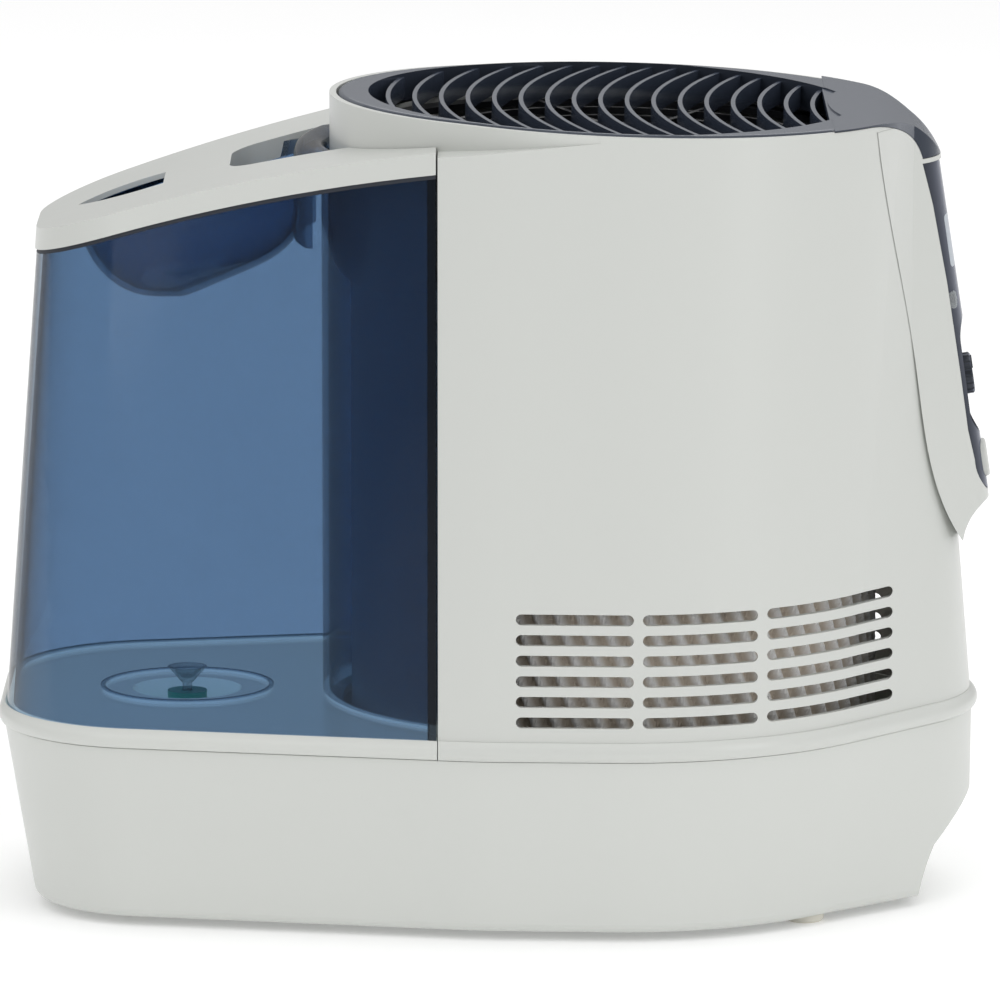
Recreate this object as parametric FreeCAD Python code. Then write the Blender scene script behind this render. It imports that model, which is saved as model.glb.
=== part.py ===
"""Console humidifier: water tray, lift-off tank, lift-off fan housing and wick.

Units are millimetres. +Z is up, +X points to the end with the controls, and the origin
is on the floor under the middle of the object. The fan turns about a vertical axis.
"""

import FreeCAD
import Part
import math
import os

V = FreeCAD.Vector
UP = V(0, 0, 1)

# ---- driving dimensions -------------------------------------------------------------
FOOT_HEIGHT = 4.0
SEAM_Z = 84.0                # top of the tray
BAND_TOP = 93.0              # top of the band that runs round above the seam
CROWN_Z = 362.0              # level of the upper outline section
WALL = 3.0
LIFT_GAP = 0.4               # gap between parts that lift off each other
SEAM_GROOVE = 0.7            # height and depth of the dark line where the cradle meets the tray

AXIS_X = 61.5                # fan axis
DRUM_END = (38.0, 112.3)     # round end of the drum, beside the tank (x, r)
DRUM_MAIN = (64.0, 126.0)    # widest circle of the drum (x, r)
DRUM_LOW = 280.0             # underside of the drum, where it stands out from the column
DRUM_ROUND = 16.0            # rounding of that lower edge
COLUMN_X = 58.5              # centre of the round housing below the drum, beside the tank
COLUMN_R = 123.4
FLANK_X = -24.7              # upright edge of the housing against the tank
SHOULDER_Z = 351.5           # top of the flank at that edge
SHOULDER_END_Z = 359.5       # top of the flank where it has merged with the drum
DRUM_JOIN_X = 47.0           # where the flank has merged with the drum

# Outline sections: a corner circle at the tank end (x, y, r), and circles centred on the
# middle plane (x, r) for the flank, the drum and the nose.
FLOOR_SECTION = dict(corner=(-150.0, 36.0, 58.0), flank=(8.0, 123.0), drum=(58.0, 126.0), nose=(150.0, 67.0))
SEAM_SECTION = dict(corner=(-151.5, 36.0, 70.0), flank=(8.0, 135.0), drum=(58.0, 137.0), nose=(148.0, 70.0))
CROWN_SECTION = dict(corner=(-152.0, 14.0, 50.0), flank=(20.0, 121.5), drum=DRUM_MAIN, nose=(148.0, 47.0))
BAND_BULGE = 3.0

RIM_Z = 362.0                # housing rim height at the fan axis
RIM_SLOPE = -0.03            # the rim falls towards the controls
LEDGE_DROP = 12.0            # ledge that carries the grille, below the rim
LEDGE_THICK = 3.0
GUARD_THICK = 3.0
GRILLE_GAP = 0.8             # dark line between the housing's rim and the grille

# Lid top: one long arc in side view
LID_LEFT = (-206.0, 307.5)
LID_MID = (-119.0, 334.5)
LID_RIGHT = (-22.0, 354.0)
LID_EDGE = 9.5               # lid thickness at its edge
LID_PLATE = 2.5              # lid thickness inside its edge
GASKET_THICK = 2.0

TANK_FLOOR = 88.0
TANK_CLEAR = 0.8             # gap between the drum and the tank's concave wall
RIDGE_OUT = 16.3             # outer face of the tank's ridge, measured out from the drum
CAP_X = -140.0
CAP_R = 32.0
NECK_R = 27.5
NECK_BOTTOM = 76.0
CAP_BOTTOM = 70.0
VALVE_STROKE = 3.0
STEM_BOTTOM = 66.0
POST_GAP = 0.4

SLOT_ROWS = 6
SLOT_PITCH = 9.2
SLOT_LOW_Z = 101.9
SLOT_HEIGHT = 4.9
SLOT_SPANS = ((9.8, 62.0), (66.0, 117.2), (121.4, 179.2))

OPENING_X = 62.0             # centre of the outlet opening
OPENING_R = 118.8
OPENING_FRONT = (35.0, 127.0)   # wider circle that narrows the opening towards its front (x, r)
BAR_PITCH = 12.0
BAR_R = 300.0                # plan radius of each curved grille bar
BAR_WIDTH = 2.0
BAR_DEPTH = 10.0
TONGUE_X = 151.0             # where the smooth front part of the grille begins

FAN_R = 97.0
THROAT_R = 101.0
DECK_Z = 262.0               # underside of the fan shroud's deck
HUB_Z = (290.0, 312.0)       # fan hub, bottom and top
SHAFT_R = 4.0
SHAFT_FIT = 0.05

WICK_R = 113.0
WICK_THICK = 24.0
WICK_BOTTOM = 22.0
WICK_TOP = 166.0
RING_INNER_R = 88.0          # inside of the rings above and below the wick

PANEL_TILT = math.radians(8.8)
PANEL_SHARPER = 8.0          # how much tighter the panel's face curves than the bezel round it
KNOB_Z = 237.0
KNOB_R = 9.5
KNOB_DISH_DEPTH = 6.5
BUTTON_Z = 198.0
BUTTON_PROUD = 1.8
BUTTON_TRAVEL = 1.5
LENS_Z = 273.0
LENS_Y = -13.5
LABEL_Z = 299.0

SCREW_R = 1.75
SCREW_HEAD_R = 3.2


# ---- small helpers --------------------------------------------------------------------
def save(name, shape):
    """Write one sub-part, as its solids, to parts/NAME.step."""
    shape = shape.removeSplitter()
    if not shape.Solids:
        raise ValueError(name + " has no solid")
    if len(shape.Solids) == 1:
        shape = shape.Solids[0]
    else:
        shape = Part.makeCompound(shape.Solids)
    shape.exportStep("parts/" + name + ".step")
    print(name, len(shape.Solids), "solid", round(shape.Volume / 1000.0, 2), "cm3", shape.isValid())


def box(x0, x1, y0, y1, z0, z1):
    return Part.makeBox(x1 - x0, y1 - y0, z1 - z0, V(x0, y0, z0))


def rod(x, y, z0, z1, radius):
    return Part.makeCylinder(radius, z1 - z0, V(x, y, z0))


def tube(x, y, z0, z1, outer, inner):
    return rod(x, y, z0, z1, outer).cut(rod(x, y, z0 - 1, z1 + 1, inner))


def cone(x, y, z0, z1, low_r, high_r):
    return Part.makeCone(low_r, high_r, z1 - z0, V(x, y, z0))


def fuse(shapes):
    first, rest = shapes[0], shapes[1:]
    return first.fuse(rest) if rest else first


def polar(radius, degrees, centre_x=AXIS_X):
    a = math.radians(degrees)
    return centre_x + radius * math.cos(a), radius * math.sin(a)


def mix(a, b, t):
    return tuple(p + (q - p) * t for p, q in zip(a, b))


def section_at(z, low=SEAM_SECTION, high=CROWN_SECTION, z_low=SEAM_Z, z_high=CROWN_Z):
    """The outline section at height z, between two given sections."""
    t = (z - z_low) / (z_high - z_low)
    return {key: mix(low[key], high[key], t) for key in low}


def hull_wire(circles, z):
    """Closed wire round circles (x, y, r), listed anticlockwise: arcs joined by tangents."""
    count = len(circles)
    leave = []
    arrive = [None] * count
    for i, (x0, y0, r0) in enumerate(circles):
        x1, y1, r1 = circles[(i + 1) % count]
        length = math.hypot(x1 - x0, y1 - y0)
        ux, uy = (x1 - x0) / length, (y1 - y0) / length
        k = (r0 - r1) / length
        s = math.sqrt(1 - k * k)
        nx, ny = ux * k + uy * s, uy * k - ux * s
        leave.append((x0 + r0 * nx, y0 + r0 * ny))
        arrive[(i + 1) % count] = (x1 + r1 * nx, y1 + r1 * ny)
    edges = []
    for i, (x, y, r) in enumerate(circles):
        start, end = arrive[i], leave[i]
        a0 = math.atan2(start[1] - y, start[0] - x)
        a1 = math.atan2(end[1] - y, end[0] - x)
        if a1 < a0:
            a1 += 2 * math.pi
        middle = (x + r * math.cos((a0 + a1) / 2), y + r * math.sin((a0 + a1) / 2))
        edges.append(Part.Arc(V(*start, z), V(*middle, z), V(*end, z)).toShape())
        edges.append(Part.LineSegment(V(*end, z), V(*arrive[(i + 1) % count], z)).toShape())
    return Part.Wire(edges)


def outline(section, z, grow=0.0):
    """Wire of an outline section at height z, grown outwards by the given amount."""
    cx, cy, cr = section["corner"]
    circles = [(cx, -cy, cr + grow)]
    middle = [section["flank"], section["drum"], section["nose"], section["drum"], section["flank"]]
    circles += [(x, 0.0, r + grow) for x, r in middle]
    circles.append((cx, cy, cr + grow))
    return hull_wire(circles, z)


def drum_plate(z0, z1, grow=0.0):
    """Upright slab with the drum's plan: its round end, its widest circle and the nose."""
    nose_x, nose_r = CROWN_SECTION["nose"]
    circles = [(x, 0.0, r + grow) for x, r in (DRUM_END, DRUM_MAIN, (nose_x, nose_r), DRUM_MAIN)]
    return Part.Face(hull_wire(circles, z0)).extrude(V(0, 0, z1 - z0))


def body_solid(z0, z1, grow=0.0):
    """Upper body between two heights, always cut from one and the same ruled surface."""
    wires = [outline(section_at(z), z, grow) for z in (SEAM_Z - 6.0, CROWN_Z + 10.0)]
    slab = box(-300, 300, -200, 200, z0, z1)
    return Part.makeLoft(wires, True, True).common(slab)


def tray_solid(z0, z1, grow=0.0):
    """Tray body between two heights."""
    wires = [
        outline(section_at(z, FLOOR_SECTION, SEAM_SECTION, FOOT_HEIGHT, SEAM_Z), z, grow) for z in (z0, z1)
    ]
    return Part.makeLoft(wires, True, True)


def band_solid(z_low):
    """Rounded band that runs round the object just above the seam."""
    levels = ((z_low, 0.8), (86.5, BAND_BULGE - 0.4), (89.0, BAND_BULGE), (91.5, BAND_BULGE - 0.9), (BAND_TOP, 0.6))
    wires = [outline(section_at(z), z, grow) for z, grow in levels]
    return Part.makeLoft(wires, True, False)


def side_prism(edges_wire, y0=-200.0, y1=200.0):
    """Solid from a closed wire in the XZ plane at y = 0, pulled from y0 to y1."""
    face = Part.Face(edges_wire)
    face.translate(V(0, y0, 0))
    return face.extrude(V(0, y1 - y0, 0))


def polygon_xz(points):
    return Part.makePolygon([V(x, 0, z) for x, z in points] + [V(points[0][0], 0, points[0][1])])


def path_xz(parts):
    """Closed XZ wire from parts: ("line", p, q) and ("arc", p, mid, q)."""
    edges = []
    for kind, *points in parts:
        vectors = [V(x, 0, z) for x, z in points]
        if kind == "line":
            edges.append(Part.LineSegment(*vectors).toShape())
        else:
            edges.append(Part.Arc(*vectors).toShape())
    return Part.Wire(edges)


def rim_z(x):
    return RIM_Z + RIM_SLOPE * (x - AXIS_X)


def under_arc(drop, left_x=-260.0, right_x=20.0, floor_z=60.0):
    """Prism of everything under the lid's arc, lowered by drop."""
    (x0, z0), (x1, z1), (x2, z2) = LID_LEFT, LID_MID, LID_RIGHT
    start, end = (x0, z0 - drop), (x2, z2 - drop)
    slope_left, slope_right = 0.40, 0.12
    far_left = (left_x, start[1] - slope_left * (x0 - left_x))
    far_right = (right_x, end[1] + slope_right * (right_x - x2))
    return side_prism(path_xz([
        ("line", (left_x, floor_z), far_left),
        ("line", far_left, start),
        ("arc", start, (x1, z1 - drop), end),
        ("line", end, far_right),
        ("line", far_right, (right_x, floor_z)),
        ("line", (right_x, floor_z), (left_x, floor_z)),
    ]))


def screw(x, y, z_top, length, direction=-1):
    """Pan-head screw along Z. The head's top is at z_top; direction -1 points it down."""
    head = rod(x, y, min(z_top, z_top + 2.0 * direction), max(z_top, z_top + 2.0 * direction), SCREW_HEAD_R)
    shank_end = z_top + length * direction
    shank = rod(x, y, min(z_top, shank_end), max(z_top, shank_end), SCREW_R)
    slot_low = z_top - 1.0 if direction < 0 else z_top - 0.2
    cross = box(x - 2, x + 2, y - 0.4, y + 0.4, slot_low, slot_low + 1.2)
    cross = cross.fuse(box(x - 0.4, x + 0.4, y - 2, y + 2, slot_low, slot_low + 1.2))
    return head.fuse(shank).cut(cross)


def panel_frame(shape, z, depth=0.0):
    """Place a shape modelled with its face at x = 0 onto the sloping control panel at height z."""
    placed = shape.copy()
    placed.rotate(V(0, 0, 0), V(0, 1, 0), -math.degrees(PANEL_TILT))
    placed.translate(V(panel_x(z) - depth * math.cos(PANEL_TILT), 0, z - depth * math.sin(PANEL_TILT)))
    return placed


def panel_x(z):
    """The panel's foremost point at height z."""
    return 223.0 - (z - 196.0) * math.tan(PANEL_TILT)


# ---- tray -------------------------------------------------------------------------------
def scoop(grow=0.0):
    """Cut-away under the front end of the tray."""
    g = grow
    return side_prism(path_xz([
        ("line", (240.0, 71.5 + g), (199.6 - g, 27.5 + g)),
        ("arc", (199.6 - g, 27.5 + g), (193.9 - g, 12.0), (191.0 - g, -10.0)),
        ("line", (191.0 - g, -10.0), (240.0, -10.0)),
        ("line", (240.0, -10.0), (240.0, 71.5 + g)),
    ]))


def base_tray():
    outer = tray_solid(FOOT_HEIGHT, SEAM_Z)
    bottom = [e for e in outer.Edges if max(v.Z for v in e.Vertexes) < FOOT_HEIGHT + 0.1]
    outer = outer.makeFillet(5.0, bottom).cut(scoop())
    inner = tray_solid(FOOT_HEIGHT + WALL, SEAM_Z + 1.0, -WALL).cut(scoop(WALL))
    tray = outer.cut(inner)
    floor = FOOT_HEIGHT + WALL
    ring = tube(AXIS_X, 0, floor - 1, floor + 2.5, WICK_R + 6, WICK_R + 3.5).common(inner.fuse(outer))
    post = rod(CAP_X, 0, floor - 1, STEM_BOTTOM - POST_GAP, 3.0)
    fins = [box(CAP_X - 8, CAP_X + 8, -1, 1, floor - 1, 50), box(CAP_X - 1, CAP_X + 1, -8, 8, floor - 1, 50)]
    ribs = []
    for x in (-195.0, -90.0):
        rib = box(x - 1, x + 1, -150, 150, floor - 1, 55).cut(box(x - 2, x + 2, -40, 40, 0, 60))
        ribs.append(rib.common(outer))
    tray = fuse([tray, ring, post] + fins + ribs)
    for x, y in foot_places():
        tray = tray.cut(rod(x, y, 0, FOOT_HEIGHT + 1.5, 7.5))
    return tray


def foot_places():
    return [(-160, -62), (-160, 62), (140, -78), (140, 78)]


def tray_feet():
    feet = []
    for x, y in foot_places():
        pad = cone(x, y, 0, 1.0, 7.6, 8.6).fuse(rod(x, y, 1.0, FOOT_HEIGHT, 8.6))
        feet.append(pad.fuse(rod(x, y, FOOT_HEIGHT, FOOT_HEIGHT + 1.5, 7.5)))
    return Part.makeCompound(feet)


def tank_side():
    """Space on the tank's side of the housing, with the lift gap."""
    half = box(-260, FLANK_X - LIFT_GAP * 2, -200, 200, 50, 420)
    return half.cut(drum_plate(40, 430, TANK_CLEAR))


def tank_cradle():
    band = band_solid(SEAM_Z).common(box(-260, FLANK_X - LIFT_GAP, -200, 200, 50, 420))
    recess = body_solid(TANK_FLOOR - LIFT_GAP, BAND_TOP + 2, 0.3)
    cradle = band.cut(recess)
    groove = box(-260, 0, -200, 200, SEAM_Z - 1, SEAM_Z + SEAM_GROOVE)
    cradle = cradle.cut(groove.cut(body_solid(SEAM_Z - 2, SEAM_Z + 2, -SEAM_GROOVE)))
    cradle = cradle.cut(rod(COLUMN_X, 0, 60, 120, COLUMN_R + 4.1))
    return cradle.cut(rod(CAP_X, 0, 60, 120, CAP_R + 3.0))


# ---- tank -------------------------------------------------------------------------------
def tank_ridge():
    """Rounded ridge of the tank that stands up between the lid and the drum."""
    sector = drum_plate(300, 344.5, RIDGE_OUT).cut(drum_plate(299, 346, TANK_CLEAR))
    top = [e for e in sector.Edges if e.BoundBox.ZMin > 344.0]
    sector = sector.makeFillet(6.5, top)
    return sector.common(thumb_prism(-0.4))


def tank_top_drop():
    return LID_EDGE + GASKET_THICK


def tank_body():
    top_z = 365.0
    side = tank_side()
    roof = under_arc(tank_top_drop())
    outer = body_solid(TANK_FLOOR, top_z, -0.4).common(side).common(roof)
    cavity = body_solid(TANK_FLOOR + WALL, top_z, -0.4 - WALL)
    cavity = cavity.cut(drum_plate(60, 420, TANK_CLEAR + WALL))
    cavity = cavity.common(box(-260, FLANK_X - 4.0, -200, 200, 50, 420))
    shell = outer.cut(cavity)
    hollow = drum_plate(290, 338, RIDGE_OUT - 2.5).cut(drum_plate(289, 339, TANK_CLEAR + 2.5))
    ridge = tank_ridge().cut(hollow)
    shell = shell.fuse(ridge)
    neck = tube(CAP_X, 0, NECK_BOTTOM, TANK_FLOOR + 1, NECK_R, NECK_R - 2.5)
    shell = shell.fuse(neck).cut(rod(CAP_X, 0, TANK_FLOOR - 2, TANK_FLOOR + WALL + 1, NECK_R - 2.5))
    rim = tube(CAP_X, 0, TANK_FLOOR + WALL - 0.5, TANK_FLOOR + WALL + 2, NECK_R + 12, NECK_R + 10)
    return shell.fuse(rim)


def lid_slab():
    """Lid outline between its top arc and its lower edge, without openings."""
    outer = body_solid(280.0, 365.0, 0.4).common(box(-260, FLANK_X - LIFT_GAP * 2, -200, 200, 250, 420))
    return outer.common(under_arc(0)).cut(under_arc(LID_EDGE)).cut(drum_plate(200, 420, TANK_CLEAR))


def leaf_opening():
    """Finger opening at the end: pointed at the end, straight along the carrying bar."""
    tip = V(-188, 0, 280)
    low, high = V(-149, -17, 280), V(-149, 17, 280)
    edges = [
        Part.Arc(tip, V(-171, -14.5, 280), low).toShape(),
        Part.LineSegment(low, high).toShape(),
        Part.Arc(high, V(-171, 14.5, 280), tip).toShape(),
    ]
    return Part.Face(Part.Wire(edges)).extrude(V(0, 0, 100))


def thumb_prism(grow=0.0):
    """Larger opening between the carrying bar and the drum."""
    circles = [(-101, -16, 18 + grow), (-60, -40, 8 + grow), (-60, 40, 8 + grow), (-101, 16, 18 + grow)]
    return Part.Face(hull_wire(circles, 280)).extrude(V(0, 0, 100))


def tank_lid():
    slab = lid_slab()
    pocket = body_solid(280.0, 365.0, -3.4).common(under_arc(LID_PLATE)).cut(drum_plate(200, 420, TANK_CLEAR + 4))
    pocket = pocket.common(box(-260, FLANK_X - 6, -200, 200, 250, 420))
    collar = thumb_prism(2.2).common(under_arc(0))
    lid = slab.cut(pocket.cut(collar))
    return lid.cut(leaf_opening()).cut(thumb_prism())


def lid_gasket():
    strip = body_solid(280.0, 365.0, -0.6).common(tank_side())
    strip = strip.common(under_arc(LID_EDGE)).cut(under_arc(LID_EDGE + GASKET_THICK))
    hollow = body_solid(280.0, 365.0, -0.4 - WALL).cut(drum_plate(60, 420, TANK_CLEAR + WALL))
    hollow = hollow.common(box(-260, FLANK_X - 4.0, -200, 200, 50, 420))
    return strip.cut(hollow).cut(tank_ridge())


# Levels of the bowl under the lid: height, far end, near end, half width
BOWL_LEVELS = (
    (273.0, -158.0, -138.0, 8.0), (276.0, -168.0, -131.0, 17.0), (283.0, -177.0, -115.0, 28.0),
    (293.0, -184.0, -96.0, 38.0), (308.0, -188.0, -84.0, 43.0), (325.0, -190.0, -77.0, 45.0),
    (350.0, -190.0, -70.0, 45.0))


def bowl(shrink):
    """Scoop-shaped bowl that hangs under the lid, steeper towards the drum."""
    wires = []
    for z, x0, x1, half in BOWL_LEVELS:
        r = half - shrink
        wires.append(hull_wire([(x0 + half, 0, r), (x1 - half, 0, r)], z + shrink))
    return Part.makeLoft(wires, True, False)


def tank_handle_well():
    inside = body_solid(240, 365.0, -6.0).cut(drum_plate(200, 420, RIDGE_OUT + 0.3))
    return bowl(0).cut(bowl(2.0)).common(under_arc(LID_PLATE)).common(inside).cut(tank_lid())


# ---- tank cap and valve --------------------------------------------------------------------
CAGE_R = 9.0
CAGE_TOP = 90.0
SEAL_Z = CAP_BOTTOM + 3.0 + VALVE_STROKE + 0.05     # the seal, held open by the post
STEM_R = 2.2


def tank_cap():
    cap = tube(CAP_X, 0, CAP_BOTTOM, TANK_FLOOR - 4.0, CAP_R, NECK_R + 0.5)
    disc = rod(CAP_X, 0, CAP_BOTTOM, CAP_BOTTOM + 3, CAP_R)
    cage = tube(CAP_X, 0, CAP_BOTTOM + 2, CAGE_TOP, CAGE_R, CAGE_R - 1.5)
    roof = rod(CAP_X, 0, CAGE_TOP - 2, CAGE_TOP, CAGE_R)
    cap = fuse([cap, disc, cage, roof])
    cap = cap.cut(rod(CAP_X, 0, CAP_BOTTOM - 1, CAP_BOTTOM + 4, 5.5))
    cap = cap.cut(rod(CAP_X, 0, CAGE_TOP - 3, CAGE_TOP + 1, STEM_R + 0.4))
    for i in range(4):
        window = box(CAP_X, CAP_X + 12, -2.5, 2.5, 78, 86)
        window.rotate(V(CAP_X, 0, 0), UP, 45 + 90 * i)
        cap = cap.cut(window)
    for i in range(24):
        flute = rod(CAP_X + CAP_R + 0.6, 0, CAP_BOTTOM - 1, TANK_FLOOR, 1.4)
        flute.rotate(V(CAP_X, 0, 0), UP, 15 * i)
        cap = cap.cut(flute)
    return cap


def cap_gasket():
    return tube(CAP_X, 0, CAP_BOTTOM + 3, CAP_BOTTOM + 5.5, NECK_R - 0.2, NECK_R - 4)


def valve_stem():
    stem = rod(CAP_X, 0, STEM_BOTTOM, 97, STEM_R)
    foot = rod(CAP_X, 0, STEM_BOTTOM, STEM_BOTTOM + 2, 3.4)
    plate = rod(CAP_X, 0, SEAL_Z + 1.6, SEAL_Z + 2.8, 6.4)
    cup = cone(CAP_X, 0, 94, 101, 3.0, 9.0).cut(cone(CAP_X, 0, 95.5, 101.1, 2.0, 7.8))
    return fuse([stem, foot, plate, cup])


def valve_seal():
    return tube(CAP_X, 0, SEAL_Z, SEAL_Z + 1.6, 6.9, STEM_R)


def helix_spring(x, y, z0, z1, radius, wire_r, turns):
    """Round-wire helix between two heights."""
    pitch = (z1 - z0 - 2 * wire_r) / turns
    path = Part.makeHelix(pitch, z1 - z0 - 2 * wire_r, radius)
    profile = Part.Wire([Part.Circle(V(radius, 0, 0), V(0, 1, 0), wire_r).toShape()])
    coil = Part.Wire(path.Edges).makePipeShell([profile], True, True)
    coil.translate(V(x, y, z0 + wire_r))
    return coil


def valve_spring():
    return helix_spring(CAP_X, 0, SEAL_Z + 2.9, CAGE_TOP - 2.1, 4.4, 0.45, 5)


# ---- fan housing --------------------------------------------------------------------------------
def housing_solid(grow, low=SEAM_Z + LIFT_GAP):
    """Housing volume: the flank beside the tank line, and the round column and drum."""
    high = 370.0
    flank = body_solid(low, high, grow).common(side_prism(polygon_xz([
        (FLANK_X - grow, 0.0), (FLANK_X - grow, SHOULDER_Z + grow), (DRUM_JOIN_X, SHOULDER_END_Z + grow),
        (DRUM_JOIN_X, 420.0), (260.0, 420.0), (260.0, 0.0)])))
    column = rod(COLUMN_X, 0, low, DRUM_LOW + DRUM_ROUND, COLUMN_R + grow)
    drum = drum_plate(DRUM_LOW - grow, high, grow)
    lower_edge = [e for e in drum.Edges if e.BoundBox.ZMax < DRUM_LOW - grow + 0.1]
    drum = drum.makeFillet(DRUM_ROUND + grow, lower_edge)
    round_part = column.fuse(drum).common(box(-120, DRUM_JOIN_X + 1.0, -200, 200, 0, 420))
    return flank.fuse(round_part)


def top_profile(drop=0.0, front=0.0):
    """Prism under the housing's rim, which rolls over at the front."""
    left, bend = (-120.0, rim_z(-120.0) - drop), (166.0 - front, rim_z(166.0) - drop)
    corner, end = (185.0 - front, 351.5 - drop), (193.0 - front, 338.0 - drop)
    return side_prism(path_xz([
        ("line", (-120.0, 40.0), left),
        ("line", left, bend),
        ("arc", bend, corner, end),
        ("line", end, (260.0, 338.0 - drop)),
        ("line", (260.0, 338.0 - drop), (260.0, 40.0)),
        ("line", (260.0, 40.0), (-120.0, 40.0)),
    ]))


def slot_cutter():
    """All inlet slots, cut through both long sides."""
    cutters = []
    r = SLOT_HEIGHT / 2
    for row in range(SLOT_ROWS):
        z = SLOT_LOW_Z + row * SLOT_PITCH
        for x0, x1 in SLOT_SPANS:
            wire = path_xz([
                ("line", (x0 + r, z - r), (x1 - r, z - r)),
                ("arc", (x1 - r, z - r), (x1, z), (x1 - r, z + r)),
                ("line", (x1 - r, z + r), (x0 + r, z + r)),
                ("arc", (x0 + r, z + r), (x0, z), (x0 + r, z - r)),
            ])
            cutters.append(side_prism(wire, -160, -45))
            cutters.append(side_prism(wire, 45, 160))
    return Part.makeCompound(cutters)


def fan_housing():
    band = band_solid(SEAM_Z + LIFT_GAP).common(box(FLANK_X, 260, -200, 200, 0, 420))
    outer = housing_solid(0.0).common(top_profile()).fuse(band)
    shell = outer.cut(housing_solid(-WALL, SEAM_Z - 2.0))
    shell = shell.cut(slot_cutter())
    ledge = drum_plate(300, 352, 0.5 - WALL).cut(rod(OPENING_X, 0, 299, 353, OPENING_R))
    ledge = ledge.common(side_prism(polygon_xz([
        (-120, rim_z(-120) - LEDGE_DROP), (260, rim_z(260) - LEDGE_DROP),
        (260, rim_z(260) - LEDGE_DROP - LEDGE_THICK), (-120, rim_z(-120) - LEDGE_DROP - LEDGE_THICK)])))
    shell = shell.fuse(ledge.common(box(-120, 160, -200, 200, 200, 400)))
    shell = shell.cut(panel_window()).cut(lamp_clearance())
    for x, y in deck_screw_places():
        boss = rod(x, y, DECK_Z - 14, DECK_Z, 5.5).common(housing_solid(-WALL / 2))
        shell = shell.fuse(boss).cut(rod(x, y, DECK_Z - 16, DECK_Z + 1, SCREW_R))
    for x, y in grille_screw_places():
        shell = shell.cut(rod(x, y, 320, 380, SCREW_R + 0.3))
    return shell.cut(cord_hole(5.0))


def panel_window():
    """Window in the housing behind the control panel."""
    return box(150, 240, -14, 14, 185, 320)


def cord_hole(radius):
    return Part.makeCylinder(radius, 60, V(-8, 90, 110), V(0, 1, 0))


def cord_grommet():
    bush = Part.makeCylinder(5.0, 17, V(-8, 122, 110), V(0, 1, 0))
    collar_in = Part.makeCylinder(7.5, 8.0, V(-8, 125, 110), V(0, 1, 0)).common(housing_solid(-WALL))
    collar_out = Part.makeCylinder(7.5, 10.0, V(-8, 127, 110), V(0, 1, 0)).cut(housing_solid(0.0))
    hole = Part.makeCylinder(3.2, 40, V(-8, 105, 110), V(0, 1, 0))
    return fuse([bush, collar_in, collar_out]).cut(hole)


# ---- front bezel and control panel ---------------------------------------------------------------
HOOD_Z = (192.0, 345.0)      # levels of the hood circle's two sizes
HOOD_CIRCLES = ((199.5, 24.0), (165.0, 36.0))
HOOD_STEP = 0.35             # height of the edge where the bezel lies on the housing


def hood_circle(z):
    """Circle (x, r) that the bezel's nose is drawn with at height z."""
    return mix(*HOOD_CIRCLES, (z - HOOD_Z[0]) / (HOOD_Z[1] - HOOD_Z[0]))


def hood_solid():
    """Bezel blank: a thin skin on the housing, pushed out to a narrow nose."""
    wires = []
    for z in (150.0, 372.0):
        nose_x, nose_r = section_at(z)["nose"]
        hood_x, hood_r = hood_circle(z)
        wires.append(hull_wire([(nose_x, 0.0, nose_r + HOOD_STEP), (hood_x, 0.0, hood_r)], z))
    return Part.makeLoft(wires, True, True).fuse(body_solid(150.0, 370.0, HOOD_STEP))


def hood_side():
    """Side view of the raised bezel."""
    left = Part.BSplineCurve()
    points = ((171.0, 356.0), (177.0, 317.0), (184.0, 281.0), (190.0, 246.0), (199.5, 192.0), (212.5, 163.5))
    left.interpolate([V(x, 0, z) for x, z in points])
    chin = Part.Arc(V(212.5, 0, 163.5), V(216.5, 0, 173.5), V(226.0, 0, 181.0)).toShape()
    rest = Part.makePolygon([V(226, 0, 181), V(250, 0, 181), V(250, 0, 356), V(171, 0, 356)])
    return side_prism(Part.Wire([left.toShape(), chin] + rest.Edges))


POCKET_TOP_HALF = 24.0


def pocket_front(grow):
    """Front view of the panel's pocket, as a prism along X."""
    half = [(POCKET_TOP_HALF, 336), (21, 317), (18, 281), (16.5, 240), (16, 213), (14, 199)]
    right = [V(140, y + grow, z) for y, z in half]
    left = [V(140, -y - grow, z) for y, z in reversed(half)]
    top_z = half[0][1] + grow
    corner_r, corner_l = V(140, POCKET_TOP_HALF + grow, top_z), V(140, -POCKET_TOP_HALF - grow, top_z)
    sides = Part.makePolygon([corner_r] + right[1:])
    sides_left = Part.makePolygon(left[:-1] + [corner_l])
    bottom = Part.Arc(right[-1], V(140, 0, 183.5 - grow), left[0]).toShape()
    top = Part.LineSegment(corner_l, corner_r).toShape()
    face = Part.Face(Part.Wire(sides.Edges + [bottom] + sides_left.Edges + [top]))
    return face.extrude(V(120, 0, 0))


def front_bezel():
    blank = hood_solid().common(hood_side()).common(top_profile(0.0))
    blank = blank.cut(housing_solid(0.0))
    return blank.cut(pocket_front(0.0))


def panel_body(inset):
    """Panel volume: a nose rounder than the bezel's, foremost along the middle."""
    wires = []
    for z in (150.0, 345.0):
        front = panel_x(z) - inset
        radius = hood_circle(z)[1] - PANEL_SHARPER - inset
        wires.append(hull_wire([(front - radius, -1.0, radius), (front - radius, 1.0, radius)], z))
    return Part.makeLoft(wires, True, True)


def knob_dish():
    """Upright oval recess round the knob."""
    circles = [(0, -16, 11.5), (0, 16, 11.5)]
    face = Part.Face(hull_wire(circles, 0))
    dish = face.extrude(V(0, 0, 30))
    dish.rotate(V(0, 0, 0), V(1, 0, 0), 90)
    dish.rotate(V(0, 0, 0), V(0, 0, 1), 90)
    return dish


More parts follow.
